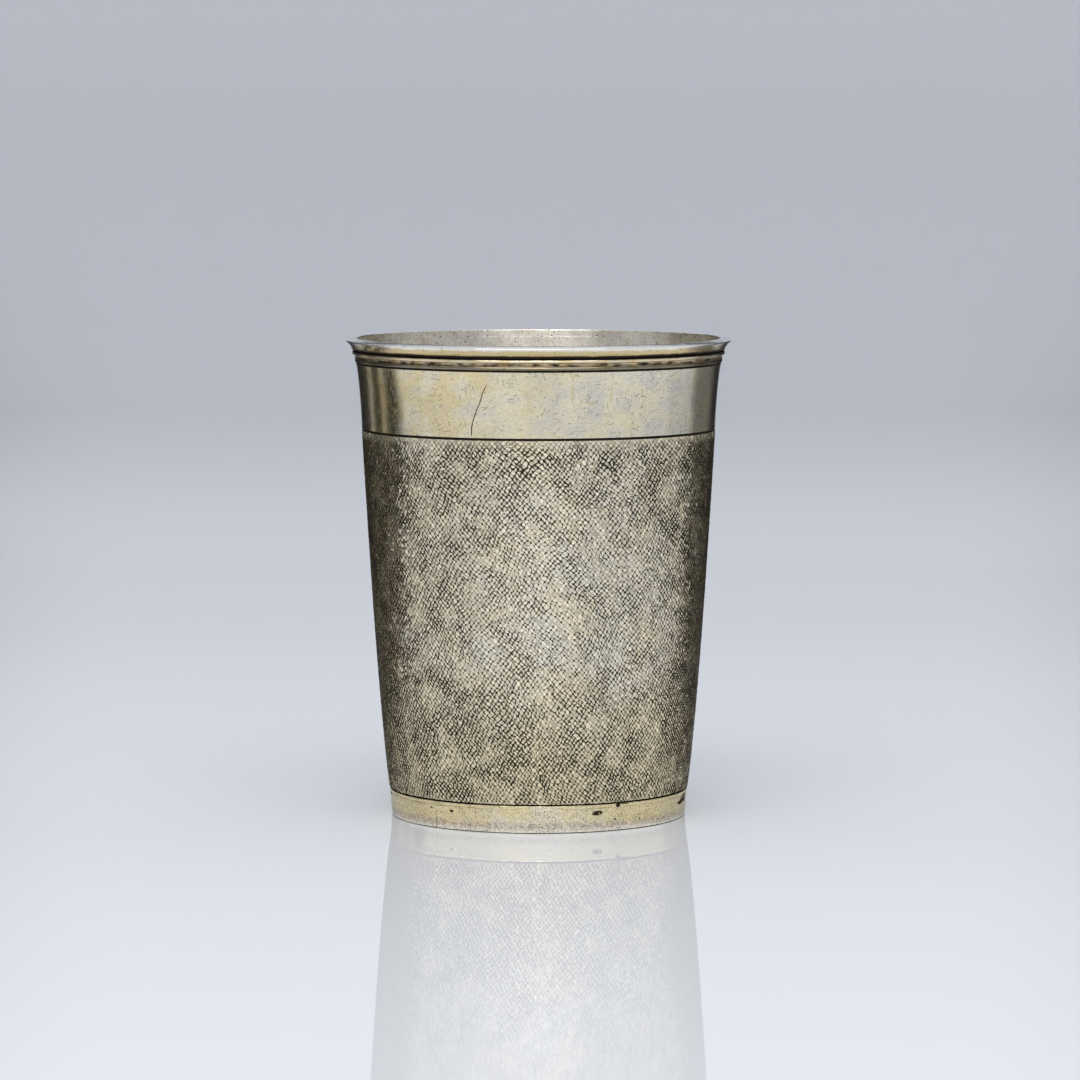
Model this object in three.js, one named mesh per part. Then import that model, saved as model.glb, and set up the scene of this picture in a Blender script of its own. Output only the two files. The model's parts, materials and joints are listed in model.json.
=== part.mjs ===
// Silver beaker: a tapering wall of hammered sheet with a rim wire, a reeded wire, a foot band and a
// bottom plate soldered to it. Millimetres, +Z up, origin on the axis at the level of the table.
import * as THREE from 'three';

// Heights of the zones, stacked from the table up
const BAND_HEIGHT = 6.2;
const BAND_SEAM = 0.3;
const FIELD_HEIGHT = 80.75;
const LIP_HEIGHT = 15.2;
const REED_SEAM = 0.15;
const RIM_SEAM = 0.4;
const RIM_SKIRT = 1.0;
const RIM_HEIGHT = 2.6;

// Outside of the wall: the field's foot stands proud of the foot band, and each bend is where the
// tangents of that zone's curve meet
const FIELD_PROUD = 0.1;
const FIELD_BEND_RADIUS = 36.3;
const FIELD_BEND_HEIGHT = 18.5;
const FIELD_TOP_RADIUS = 39.85;
const LIP_BEND_RADIUS = 40.32;
const LIP_BEND_HEIGHT = 10.75;
const LIP_TOP_RADIUS = 41.17;

// The wall sheet
const WALL_THICKNESS = 0.8;
const LINE_WIDTH = 0.45;
const LINE_DEPTH = 0.18;
const REED_SEAT = 0.3;
const COLLAR_FLARE = 0.38;
const STEP_RISE = 1.6;
const SOLDER_GAP = 0.08;

// The reeded wire: a small reed, a hollow and a bolder reed above it
const REED_PROUD = 0.05;
const LOWER_REED_HEIGHT = 0.7;
const LOWER_REED_LEAN = 0.15;
const LOWER_REED_BULGE = 0.16;
const HOLLOW_HEIGHT = 0.8;
const HOLLOW_LEAN = 0.1;
const UPPER_REED_HEIGHT = 0.9;
const UPPER_REED_LEAN = 0.35;
const UPPER_REED_BULGE = 0.36;

// The rim wire
const RIM_SKIRT_THICKNESS = 0.65;
const RIM_OVERHANG = 2.2;
const RIM_SLOPE = 0.5;
const RIM_LAND = 0.2;

// The foot band
const BAND_FOOT_RADIUS = 33.2;
const BAND_TOP_RADIUS = 33.7;
const BAND_THICKNESS = 1.1;
const BAND_ROUNDING = 0.3;

// The bottom plate
const PLATE_LIFT = 0.6;
const PLATE_THICKNESS = 0.8;
const PLATE_MARGIN = 1.5;
const PLATE_DOME = 1.2;

// Facets round the axis, and steps along the curves
const FACETS = 80;
const FIELD_STEPS = 7;
const LIP_STEPS = 4;
const REED_STEPS = 4;
const DOME_STEPS = 4;
const ROUNDING_STEPS = 2;

// Levels that follow from the stacked heights
const bandTop = BAND_HEIGHT;
const fieldFoot = bandTop + BAND_SEAM;
const fieldTop = fieldFoot + FIELD_HEIGHT;
const lipTop = fieldTop + LIP_HEIGHT;
const reedFoot = lipTop + REED_SEAM;
const reedTop = reedFoot + LOWER_REED_HEIGHT + HOLLOW_HEIGHT + UPPER_REED_HEIGHT;
const rimFoot = reedTop + RIM_SEAM;
const wallTop = rimFoot + RIM_SKIRT;
const rimTop = rimFoot + RIM_HEIGHT;
const wallFoot = PLATE_LIFT + PLATE_THICKNESS;

const point = (radius, height) => new THREE.Vector2(radius, height);

const silver = { metalness: 1.0, roughness: 0.32 };
const materials = {
  wall: new THREE.MeshStandardMaterial({ ...silver, color: 0xb9ad9c }),
  rim_wire: new THREE.MeshStandardMaterial({ ...silver, color: 0xe6dcc4 }),
  reeded_wire: new THREE.MeshStandardMaterial({ ...silver, color: 0xd9c59a }),
  foot_band: new THREE.MeshStandardMaterial({ ...silver, color: 0xdccba6 }),
  base_plate: new THREE.MeshStandardMaterial({ ...silver, color: 0xb7b0a5 }),
};

const beaker = new THREE.Group();

// A piece turned round the axis from its outline, which runs anticlockwise in radius and height
function addTurned(name, outline) {
  const geometry = new THREE.LatheGeometry(outline, FACETS);
  geometry.rotateX(Math.PI / 2);
  const mesh = new THREE.Mesh(geometry, materials[name]);
  mesh.name = name;
  beaker.add(mesh);
}

// Outside radius of the foot band at a height; its inside runs parallel
function bandRadius(height) {
  return THREE.MathUtils.mapLinear(height, 0, bandTop, BAND_FOOT_RADIUS, BAND_TOP_RADIUS);
}

// Outside radius of the foot of the wall, which is stepped in behind the foot band
function tuckRadius(height) {
  return bandRadius(height) - BAND_THICKNESS - SOLDER_GAP;
}

// Outside radius of the collar, the stretch of wall behind the reeded wire and the rim wire
function collarRadius(height) {
  const footRadius = LIP_TOP_RADIUS - REED_SEAT;
  return THREE.MathUtils.mapLinear(height, lipTop, wallTop, footRadius, footRadius + COLLAR_FLARE);
}

const fieldFootRadius = BAND_TOP_RADIUS + FIELD_PROUD;
const collarThickness = WALL_THICKNESS - REED_SEAT;
const mouthRadius = collarRadius(wallTop) - collarThickness;

const fieldCurve = new THREE.QuadraticBezierCurve(
  point(fieldFootRadius, fieldFoot),
  point(FIELD_BEND_RADIUS, fieldFoot + FIELD_BEND_HEIGHT),
  point(FIELD_TOP_RADIUS, fieldTop),
);

const lipCurve = new THREE.QuadraticBezierCurve(
  point(FIELD_TOP_RADIUS, fieldTop + LINE_WIDTH),
  point(LIP_BEND_RADIUS, fieldTop + LIP_BEND_HEIGHT),
  point(LIP_TOP_RADIUS, lipTop),
);

// The wall: outside from the foot to the collar, and back down the inside
function addWall() {
  const field = fieldCurve.getPoints(FIELD_STEPS);
  const lip = lipCurve.getPoints(LIP_STEPS);
  const chasedLine = point(FIELD_TOP_RADIUS - LINE_DEPTH, fieldTop + LINE_WIDTH / 2);
  const outside = [
    point(tuckRadius(wallFoot), wallFoot),
    point(tuckRadius(fieldFoot), fieldFoot),
    ...field,
    chasedLine,
    ...lip,
    point(collarRadius(lipTop), lipTop),
    point(collarRadius(wallTop), wallTop),
  ];
  const footSlope = (FIELD_BEND_RADIUS - fieldFootRadius) / FIELD_BEND_HEIGHT;
  const stepTop = point(fieldFootRadius + footSlope * STEP_RISE, fieldFoot + STEP_RISE);
  const stepFoot = point(tuckRadius(fieldFoot), bandTop);
  const inside = [outside[0], stepFoot, stepTop, ...field.slice(1), ...lip.slice(1)]
    .map((p) => point(p.x - WALL_THICKNESS, p.y))
    .reverse();
  const outline = [
    ...outside,
    point(mouthRadius, wallTop),
    ...inside,
    outside[0],
  ];
  addTurned('wall', outline);
}

// The rim wire: a bevelled top, a sloping underside and a rebate for the wall's top edge
function addRimWire() {
  const tipRadius = collarRadius(wallTop) + RIM_OVERHANG;
  const tipHeight = rimTop - RIM_SLOPE;
  const rebateRadius = collarRadius(wallTop) + SOLDER_GAP;
  const outline = [
    point(mouthRadius, wallTop),
    point(rebateRadius, wallTop),
    point(rebateRadius, rimFoot),
    point(rebateRadius + RIM_SKIRT_THICKNESS, rimFoot),
    point(tipRadius, tipHeight - RIM_LAND),
    point(tipRadius, tipHeight),
    point(mouthRadius, rimTop),
    point(mouthRadius, wallTop),
  ];
  addTurned('rim_wire', outline);
}

// A rounded reed from one edge to the other, as a parabola that stands out by its bulge
function reedPoints(foot, top, bulge) {
  const middle = point((foot.x + top.x) / 2 + 2 * bulge, (foot.y + top.y) / 2);
  return new THREE.QuadraticBezierCurve(foot, middle, top).getPoints(REED_STEPS);
}

// The reeded wire: its back follows the collar
function addReededWire() {
  const foot = point(LIP_TOP_RADIUS + REED_PROUD, reedFoot);
  const lowerTop = point(foot.x + LOWER_REED_LEAN, foot.y + LOWER_REED_HEIGHT);
  const upperFoot = point(lowerTop.x + HOLLOW_LEAN, lowerTop.y + HOLLOW_HEIGHT);
  const top = point(upperFoot.x + UPPER_REED_LEAN, reedTop);
  const back = (height) => point(collarRadius(height) + SOLDER_GAP, height);
  const outline = [
    back(reedFoot),
    ...reedPoints(foot, lowerTop, LOWER_REED_BULGE),
    ...reedPoints(upperFoot, top, UPPER_REED_BULGE),
    back(reedTop),
    back(reedFoot),
  ];
  addTurned('reeded_wire', outline);
}

// The foot band: a strip with a rounded lower outside edge and a flat edge to stand on
function addFootBand() {
  const corner = point(BAND_FOOT_RADIUS, 0);
  const rounding = new THREE.QuadraticBezierCurve(
    point(corner.x - BAND_ROUNDING, 0),
    corner,
    point(bandRadius(BAND_ROUNDING), BAND_ROUNDING),
  );
  const outline = [
    point(BAND_FOOT_RADIUS - BAND_THICKNESS, 0),
    ...rounding.getPoints(ROUNDING_STEPS),
    point(BAND_TOP_RADIUS, bandTop),
    point(BAND_TOP_RADIUS - BAND_THICKNESS, bandTop),
    point(BAND_FOOT_RADIUS - BAND_THICKNESS, 0),
  ];
  addTurned('foot_band', outline);
}

// The bottom plate: a flat margin under the wall's lower edge, and a shallow dome within it
function addBasePlate() {
  const edgeRadius = bandRadius(PLATE_LIFT) - BAND_THICKNESS - SOLDER_GAP;
  const domeRadius = tuckRadius(wallFoot) - WALL_THICKNESS - PLATE_MARGIN;
  const dome = (level) => {
    const shoulder = point(domeRadius / 2, level + PLATE_DOME);
    const curve = new THREE.QuadraticBezierCurve(
      point(0, level + PLATE_DOME),
      shoulder,
      point(domeRadius, level),
    );
    return curve.getPoints(DOME_STEPS);
  };
  const outline = [
    ...dome(PLATE_LIFT),
    point(edgeRadius, PLATE_LIFT),
    point(edgeRadius, wallFoot),
    ...dome(wallFoot).reverse(),
  ];
  addTurned('base_plate', outline);
}

addWall();
addRimWire();
addReededWire();
addFootBand();
addBasePlate();

export default beaker;
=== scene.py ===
"""A silver beaker with a gilt lip, a reeded rim and a snakeskin-chased wall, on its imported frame."""

import json
import math

import bpy
import numpy as np
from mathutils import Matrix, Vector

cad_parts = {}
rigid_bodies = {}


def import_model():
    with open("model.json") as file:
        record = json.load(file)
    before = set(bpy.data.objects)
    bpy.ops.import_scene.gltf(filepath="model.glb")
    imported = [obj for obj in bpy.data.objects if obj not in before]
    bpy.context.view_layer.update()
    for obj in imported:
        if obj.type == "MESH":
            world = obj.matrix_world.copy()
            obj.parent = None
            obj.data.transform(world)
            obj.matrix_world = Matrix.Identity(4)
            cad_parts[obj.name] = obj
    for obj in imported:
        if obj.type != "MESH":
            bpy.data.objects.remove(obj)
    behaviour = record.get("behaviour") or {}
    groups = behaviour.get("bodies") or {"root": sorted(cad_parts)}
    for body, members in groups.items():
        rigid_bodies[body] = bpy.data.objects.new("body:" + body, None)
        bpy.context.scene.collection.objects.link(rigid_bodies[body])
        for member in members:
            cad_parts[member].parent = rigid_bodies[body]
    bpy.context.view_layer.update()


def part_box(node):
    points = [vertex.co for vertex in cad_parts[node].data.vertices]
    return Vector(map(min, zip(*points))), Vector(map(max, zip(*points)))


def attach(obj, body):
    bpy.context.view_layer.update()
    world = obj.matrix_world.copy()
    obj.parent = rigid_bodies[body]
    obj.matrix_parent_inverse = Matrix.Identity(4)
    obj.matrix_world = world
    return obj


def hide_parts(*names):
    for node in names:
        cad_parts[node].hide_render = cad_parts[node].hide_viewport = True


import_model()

# Outlines below are in millimetres; the meshes are in metres
MM = 0.001

# Levels and radii that the frame gives
BAND_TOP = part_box("foot_band")[1].z / MM
BAND_TOP_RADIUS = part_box("foot_band")[1].x / MM
PLATE_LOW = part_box("base_plate")[0].z / MM
PLATE_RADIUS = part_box("base_plate")[1].x / MM
WALL_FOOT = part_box("wall")[0].z / MM
WALL_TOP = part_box("wall")[1].z / MM
COLLAR_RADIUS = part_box("wall")[1].x / MM
REED_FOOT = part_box("reeded_wire")[0].z / MM
REED_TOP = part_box("reeded_wire")[1].z / MM
RIM_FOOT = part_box("rim_wire")[0].z / MM
RIM_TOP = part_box("rim_wire")[1].z / MM
RIM_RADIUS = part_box("rim_wire")[1].x / MM

# Clearances, thicknesses and heights of the wall's zones, about as the solids have them
SOLDER = 0.08
SHEET = 0.8
BAND_SEAM = 0.3
FIELD_HEIGHT = 80.75
FIELD_PROUD = 0.1
REED_SEAM = 0.15
REED_SEAT = 0.3
COLLAR_THICKNESS = 0.5
STEP_RISE = 1.6
STEP_FLARE = 0.2
LINE_WIDTH = 0.45

# The chased line, cut deeper than in the solid, and the soot beside it and under the reeded wire
LINE_DEPTH = 0.3
LINE_FOOT_EASE = 0.1
LINE_TOP_EASE = 0.12
SOOT_REACH = 0.18
SOOT_FADE = 0.16

# The wall's levels and radii; a bend is the radius and height where the tangents of a curve meet
FIELD_FOOT = BAND_TOP + BAND_SEAM
FIELD_TOP = FIELD_FOOT + FIELD_HEIGHT
LIP_TOP = REED_FOOT - REED_SEAM
FIELD_FOOT_RADIUS = BAND_TOP_RADIUS + FIELD_PROUD
FIELD_BEND = (36.3, FIELD_FOOT + 18.5)
FIELD_TOP_RADIUS = 39.85
LIP_BEND = (40.32, FIELD_TOP + 10.75)
LIP_TOP_RADIUS = 41.17
COLLAR_FOOT_RADIUS = LIP_TOP_RADIUS - REED_SEAT
MOUTH_RADIUS = COLLAR_RADIUS - COLLAR_THICKNESS
MOUTH_EASE = (0.025, 0.26)

# The rim wire: its bevel, its set-back from the mouth, its skirt and hollow, and its eased edges
RIM_SLOPE = 0.5
RIM_SWELL = 0.04
RIM_BRINK = 0.15
RIM_SKIRT_THICKNESS = 0.65
RIM_HOLLOW = (0.38, 0.8)
RIM_UNDERCUT = (0.05, 0.25)
RIM_EDGE_EASE = (0.2, 0.15)
RIM_BRINK_POINTS = (
    # out from the brink, down from the top
    (0.3, 0.05),
    (-0.02, 0.25),
    (-0.04, 0.45),
)
RIM_SOOT = 1.15
RIM_SOOT_FALL = 1.4

# The reeded wire: radii at the edges of its reeds and at the bends between them, and its heights
REED_RADII = (41.22, 41.37, 41.47, 41.82)
REED_BENDS = (41.62, 41.3, 42.36)
LOWER_REED_HEIGHT = 0.7
HOLLOW_HEIGHT = 0.8
UPPER_REED_HEIGHT = 0.9
LOWER_REED_TOP = REED_FOOT + LOWER_REED_HEIGHT
UPPER_REED_FOOT = LOWER_REED_TOP + HOLLOW_HEIGHT

# The foot band, its eased edges, its scored line below the top, and the bottom plate
BAND_FOOT_RADIUS = 33.2
BAND_THICKNESS = 1.1
BAND_ROUNDING = 0.3
BAND_ROUNDING_MIDDLE = (0.08, 0.09)
BAND_RING_START = 0.75
BAND_RING_STEP = 0.45
BAND_RING_GAP = 0.3
BAND_TOP_ROUNDING = 0.15
BAND_TOP_EASE = (
    # in from the top's radius, down from its height
    (0.06, 0.04),
    (0.12, 0.0),
)
SCORED_DROP = 0.75
SCORED_HALF = 0.12
SCORED_DEPTH = 0.03
PLATE_DOME = 1.2
PLATE_MARGIN = 1.5

# The snakeskin: staggered cells round the wall, raised from dark gaps that cross in pits
CELL_COLUMNS = 214
CELL_ROWS = 62
CELL_SINK = 0.05
CELL_RISE = 0.06
CELL_DOME = 0.03
CELL_GAP = 0.045
CELL_CORNER = 0.25
CELL_JITTER = 0.14
CELL_TILT = 0.04
CELL_LEAN = -0.16
CELL_LIFT = 0.015
PIT_DEPTH = 0.05
NET_LOW = FIELD_FOOT + 0.02
NET_HIGH = FIELD_TOP - 0.02
NET_SWAY = 0.5
NET_DRIFT = 0.35
FINE_SWAY = 0.08
EDGE_EASE = 3
EDGE_MARGIN = 0.1
HAND_SEED = 11
BACKING_DROP = CELL_SINK + PIT_DEPTH + 0.08
FIELD_SECTORS = 6

# Wear that is cut into the metal: bearings in degrees to the right of the front, the rest in millimetres
BAND_PITS = (
    # bearing, height, width, tall, turn
    (22.8, 4.3, 2.7, 1.15, 0.08),
    (31.6, 5.85, 1.2, 1.3, 0.0),
    (74.5, 4.4, 6.5, 1.7, 0.3),
    (72.5, 4.0, 5.6, 0.8, 0.05),
    (77.0, 4.2, 3.4, 1.4, 0.0),
    (34.4, 6.0, 2.6, 0.22, 0.0),
    (30.5, 2.64, 0.55, 0.5, 0.0),
    (42.2, 2.2, 0.55, 0.45, 0.0),
    (-35.1, 4.3, 1.1, 0.6, -0.2),
    (-45.2, 4.6, 0.6, 0.4, 0.0),
    (-84.0, 4.9, 5.0, 0.7, 0.2),
    (131.0, 4.6, 1.4, 0.7, 0.1),
    (-152.0, 3.9, 0.8, 0.6, 0.0),
)
PIT_SINK = 0.32
CRACK_PATH = (
    # bearing, height
    (-15.9, 99.8),
    (-16.8, 98.6),
    (-17.5, 97.6),
    (-18.3, 95.8),
    (-19.6, 93.9),
    (-20.8, 91.7),
    (-21.4, 90.0),
    (-21.5, 88.6),
    (-21.4, 87.9),
)
CRACK_WIDTH = 0.24
CRACK_SINK = 0.25

# Wear, and painted shadows on the lip, that lie on the metal, as if the wall were unrolled: (arc,
# height), (half width, half height)
WORN_PATCH = ((12.5, 98.3), (5.5, 4.0))
HANDLED_PATCH = ((8.0, 48.0), (34.0, 38.0))
# Painted shadows: soft dark bands that stand on the lip, how far below its top and how large
LIP_SHADOW_DROP = 6.0
LIP_SHADOW_HALF = (5.0, 30.0)
LIP_SHADOWS = (
    # arc, the share of the tone that is left
    (1.0, 0.93),
    (36.0, 0.88),
)
GILT_DRIPS = (
    # (arc, height), (half width, half height)
    ((7.6, 99.2), (0.55, 4.4)),
    ((16.7, 98.9), (0.6, 4.2)),
    ((11.8, 95.5), (1.2, 0.6)),
)
LIP_SCRATCHES = (
    # turn, spacing, radius
    (0.25, 0.7, 0.075),
    (-0.3, 1.3, 0.1),
    (0.8, 0.55, 0.075),
    (1.3, 1.0, 0.09),
    (1.75, 0.6, 0.075),
    (2.4, 1.2, 0.1),
)
BAND_SCRATCH_TURNS = (0.1, 0.9, 1.5, 2.5)
SCRATCH_STRETCH = 14
SCRATCH_SHIFT = 19

# Steps round the axis, and lengths within which points are merged or slivers dropped
TURN_STEPS = 256
MERGE_DISTANCE = 0.003
SLIVER_LENGTH = 0.001
NET_MERGE_DISTANCE = 0.01

# Angles past which an edge is softened or left sharp
SOFT_EDGE_ANGLE = math.radians(25)
SHARP_ANGLE = math.radians(40)
CELL_SHARP_ANGLE = math.radians(12)

# How far inwards a face looks when it belongs to the lining, and the margin round a sector's map
INWARD = -0.7
MAP_MARGIN = 0.002

# The photograph's camera, in millimetres from the beaker's axis and the table
CAMERA_SIDE = 0.33
CAMERA_DISTANCE = 1107.3
CAMERA_HEIGHT = 160.1
CAMERA_TILT = math.radians(5.056)
CAMERA_LENS = 163.83
SENSOR = 36.0

# The floor and the wall that it sweeps up into, in millimetres
FLOOR_RINGS = (500, 1000)
SWEEP_START = 1500
SWEEP_TOP = 900
SWEEP_STEPS = 40
ROOM_RADIUS = 2600
ROOM_HEIGHT = 1300
ROOM_THICKNESS = 100

# What the metal sees past the table: depths and heights in metres, bearings in degrees from the back
TABLE_EDGE = 0.075
EDGE_BLUR = 0.05
FAR_GROUND = 0.45
GROUND_LIMIT = 82.0
LIMIT_BLUR = 6.0
RIGHT_SHORTFALL = 16.0
BACK_HALF = (42.0, 28.0)
BACK_GAP = (7.0, 15.0)
REFLECTED_STREAKS = (-63, -45)
STREAK_HALF = (5.0, 1.0)
DUSK_FOOT = (0.58, 0.66)
DUSK_TOP = (1.04, 0.9)

# Soft boxes, in metres and watts
LAMPS = (
    # name, place, target, width, depth, power
    ("key_box", (-0.5, -1.5, 1.7), (0, 0, 0.05), 1.5, 1.5, 18),
    ("fill_box", (0.5, -1.4, 1.65), (0, 0, 0.05), 1.5, 1.5, 12),
    ("front_box", (0, -2.2, 0.55), (0, 0, 0.1), 2.4, 0.8, 2.4),
)
WORLD_COLOUR = (0.93, 0.96, 1.0, 1)
WORLD_STRENGTH = 0.8

# Colours of the room
FLOOR_COLOUR = (0.82, 0.83, 0.855, 1)
BACKDROP_COLOUR = (0.61, 0.625, 0.665, 1)
LEFT_GROUND = (0.05, 0.047, 0.042, 1)
RIGHT_GROUND = (0.19, 0.187, 0.174, 1)
BACK_GROUND = (0.02, 0.02, 0.02, 1)
STREAK_COLOUR = (0.42, 0.40, 0.34, 1)
DUSK_COLOUR = (0.13, 0.13, 0.135, 1)

# Colours of the metal, and of what has settled on it
GILT = (0.77, 0.65, 0.385, 1)
PALE_GILT = (0.80, 0.715, 0.515, 1)
DULL_GILT = (0.71, 0.66, 0.545, 1)
DEEP_GILT = (0.66, 0.52, 0.26, 1)
RUBBED_GILT = (0.62, 0.585, 0.535, 1)
BOWL_GILT = (0.85, 0.785, 0.66, 1)
BOWL_SILVER = (0.86, 0.845, 0.805, 1)
RIM_SILVER = (0.83, 0.805, 0.745, 1)
RIM_GILT = (0.63, 0.52, 0.29, 1)
RIM_BROWN_GILT = (0.50, 0.38, 0.18, 1)
REED_SILVER = (0.76, 0.66, 0.49, 1)
REED_GILT = (0.70, 0.565, 0.33, 1)
BAND_CREAM = (0.82, 0.74, 0.575, 1)
BAND_GOLD = (0.81, 0.69, 0.41, 1)
BAND_EDGE = (0.785, 0.735, 0.63, 1)
CELL_SILVER = (0.80, 0.745, 0.61, 1)
CELL_CREAM = (0.82, 0.715, 0.52, 1)
CELL_LOW_GOLD = (0.74, 0.63, 0.405, 1)
CELL_DULL_GOLD = (0.77, 0.675, 0.47, 1)
CELL_EDGE_TINT = (0.56, 0.56, 0.54, 1)
TARNISH = (0.03, 0.024, 0.018, 1)
BROWN_TARNISH = (0.20, 0.13, 0.05, 1)
MAUVE_TARNISH = (0.40, 0.32, 0.30, 1)
GAP_BROWN = (0.10, 0.075, 0.04, 1)
BOWL_CLOUD = (0.45, 0.39, 0.31, 1)
BOWL_STAIN = (0.48, 0.39, 0.28, 1)
BOWL_SPECK = (0.09, 0.07, 0.05, 1)
LIP_SCRATCH = (0.14, 0.12, 0.09, 1)
LIP_SPECK = (0.1, 0.09, 0.08, 1)
WIRE_SPECK = (0.08, 0.06, 0.045, 1)
BAND_SPECK = (0.1, 0.075, 0.05, 1)


def bend(start, corner, end, steps):
    """Points of a smooth bend from start to end, whose tangents meet at the corner."""
    points = []
    for i in range(steps + 1):
        t = i / steps
        points.append(tuple(
            (1 - t) ** 2 * a + 2 * t * (1 - t) * b + t ** 2 * c
            for a, b, c in zip(start, corner, end)
        ))
    return points


def line(low, high, value):
    """Straight line through two (place, size) ends, read at a place."""
    share = (value - low[0]) / (high[0] - low[0])
    return low[1] + share * (high[1] - low[1])


def band_radius(height):
    return line((0, BAND_FOOT_RADIUS), (BAND_TOP, BAND_TOP_RADIUS), height)


def tuck_radius(height):
    return band_radius(height) - BAND_THICKNESS - SOLDER


def collar_radius(height):
    return line((LIP_TOP, COLLAR_FOOT_RADIUS), (WALL_TOP, COLLAR_RADIUS), height)


def clean(points):
    return [(radius, height, 0.0) for radius, height in points]


def turn(name, outline):
    """Draws a closed outline of (radius, height, dirt, with painted shade on the band's foot) and spins
    it once round the axis.
    """
    bpy.ops.object.select_all(action="DESELECT")
    bpy.ops.mesh.primitive_circle_add(vertices=len(outline), radius=1)
    piece = bpy.context.object
    piece.name = name
    dirt = piece.data.attributes.new("dirt", "FLOAT", "POINT")
    for vertex, (radius, height, soot) in zip(piece.data.vertices, outline):
        vertex.co = (radius * MM, 0, height * MM)
        dirt.data[vertex.index].value = soot
    bpy.ops.object.mode_set(mode="EDIT")
    bpy.ops.mesh.select_all(action="SELECT")
    bpy.ops.mesh.spin(steps=TURN_STEPS, angle=2 * math.pi, center=(0, 0, 0), axis=(0, 0, 1))
    bpy.ops.mesh.select_all(action="SELECT")
    bpy.ops.mesh.remove_doubles(threshold=MERGE_DISTANCE * MM)
    bpy.ops.mesh.dissolve_degenerate(threshold=SLIVER_LENGTH * MM)
    bpy.ops.mesh.select_all(action="SELECT")
    bpy.ops.mesh.normals_make_consistent(inside=False)
    bpy.ops.object.mode_set(mode="OBJECT")
    return piece


def soften_edges(piece, width):
    """Rounds the edges that a tool or wear has broken, and smooths the rest."""
    bevel = piece.modifiers.new("broken_edges", "BEVEL")
    bevel.width = width * MM
    bevel.segments = 3
    bevel.limit_method = "ANGLE"
    bevel.angle_limit = SOFT_EDGE_ANGLE
    bpy.ops.object.modifier_apply(modifier=bevel.name)
    bpy.ops.object.shade_smooth_by_angle(angle=SHARP_ANGLE)


def hammer(piece, depth, spread):
    """Lets the sheet wander in and out, as planished silver does."""
    marks = bpy.data.textures.new(piece.name + "_marks", "CLOUDS")
    marks.noise_scale = spread * MM
    marks.noise_depth = 1
    dents = piece.modifiers.new("dents", "DISPLACE")
    dents.texture = marks
    dents.texture_coords = "LOCAL"
    dents.strength = depth * MM
    bpy.ops.object.modifier_apply(modifier=dents.name)


def finish_piece(piece, node, slot, *materials):
    """Gives a piece its materials and its place in the frame."""
    piece.data.materials.clear()
    for material in materials:
        piece.data.materials.append(material)
    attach(piece, "root")
    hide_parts(node)


def line_with(piece, number):
    """Gives the faces that look inwards the material of that number."""
    for face in piece.data.polygons:
        outward = face.center.xy.normalized().dot(face.normal.xy)
        face.material_index = number if outward < INWARD else 0


# Helpers that add nodes to a material's tree
def add_node(tree, kind, inputs=None, **settings):
    made = tree.nodes.new(kind)
    for name, value in settings.items():
        setattr(made, name, value)
    for name, value in (inputs or {}).items():
        if isinstance(value, bpy.types.NodeSocket):
            tree.links.new(value, made.inputs[name])
        else:
            made.inputs[name].default_value = value
    return made


def maths(tree, operation, a, b=0.0, c=0.0):
    return add_node(tree, "ShaderNodeMath", {0: a, 1: b, 2: c}, operation=operation).outputs[0]


def ramp(tree, value, low, high, to_low=0.0, to_high=1.0):
    """Smooth step from one value to another."""
    made = add_node(
        tree,
        "ShaderNodeMapRange",
        {"Value": value, "From Min": low, "From Max": high, "To Min": to_low, "To Max": to_high},
        interpolation_type="SMOOTHSTEP",
    )
    return made.outputs["Result"]


def tint(tree, share, first, second):
    """Mixes two colours."""
    made = add_node(tree, "ShaderNodeMix", {0: share, 6: first, 7: second}, data_type="RGBA")
    return made.outputs[2]


def shade(tree, colour, share):
    """Multiplies a colour by a grey value."""
    grey = add_node(tree, "ShaderNodeCombineColor", {0: share, 1: share, 2: share}).outputs[0]
    made = add_node(
        tree,
        "ShaderNodeMix",
        {0: 1.0, 6: colour, 7: grey},
        data_type="RGBA",
        blend_type="MULTIPLY",
    )
    return made.outputs[2]


def surface(tree):
    """Object coordinates in millimetres."""
    place = add_node(tree, "ShaderNodeTexCoord").outputs["Object"]
    scaled = add_node(tree, "ShaderNodeVectorMath", {0: place, "Scale": 1 / MM}, operation="SCALE")
    return scaled.outputs["Vector"]


def unrolled(tree, place, radius):
    """Place on the wall as if unrolled: arc to the right of the front, and height."""
    parts = add_node(tree, "ShaderNodeSeparateXYZ", {0: place})
    front = maths(tree, "MULTIPLY", parts.outputs["Y"], -1.0)
    angle = maths(tree, "ARCTAN2", parts.outputs["X"], front)
    return maths(tree, "MULTIPLY", angle, radius), parts.outputs["Z"]


def reach_out(tree, place):
    """Distance from the beaker's axis."""
    level = add_node(tree, "ShaderNodeVectorMath", {0: place, 1: (1, 1, 0)}, operation="MULTIPLY")
    reach = add_node(tree, "ShaderNodeVectorMath", {0: level.outputs[0]}, operation="LENGTH")
    return reach.outputs["Value"]


def level_of(tree, place):
    """Height above the table."""
    return add_node(tree, "ShaderNodeSeparateXYZ", {0: place}).outputs["Z"]


def steepness(tree, place):
    """1 on the slopes between the cells, 0 on their tops, which face away from the axis."""
    level = add_node(tree, "ShaderNodeVectorMath", {0: place, 1: (1, 1, 0)}, operation="MULTIPLY")
    out = add_node(tree, "ShaderNodeVectorMath", {0: level.outputs[0]}, operation="NORMALIZE")
    facing = add_node(tree, "ShaderNodeNewGeometry").outputs["True Normal"]
    turned_out = add_node(
        tree,
        "ShaderNodeVectorMath",
        {0: out.outputs[0], 1: facing},
        operation="DOT_PRODUCT",
    )
    return ramp(tree, turned_out.outputs["Value"], 0.93, 0.85)


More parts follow.
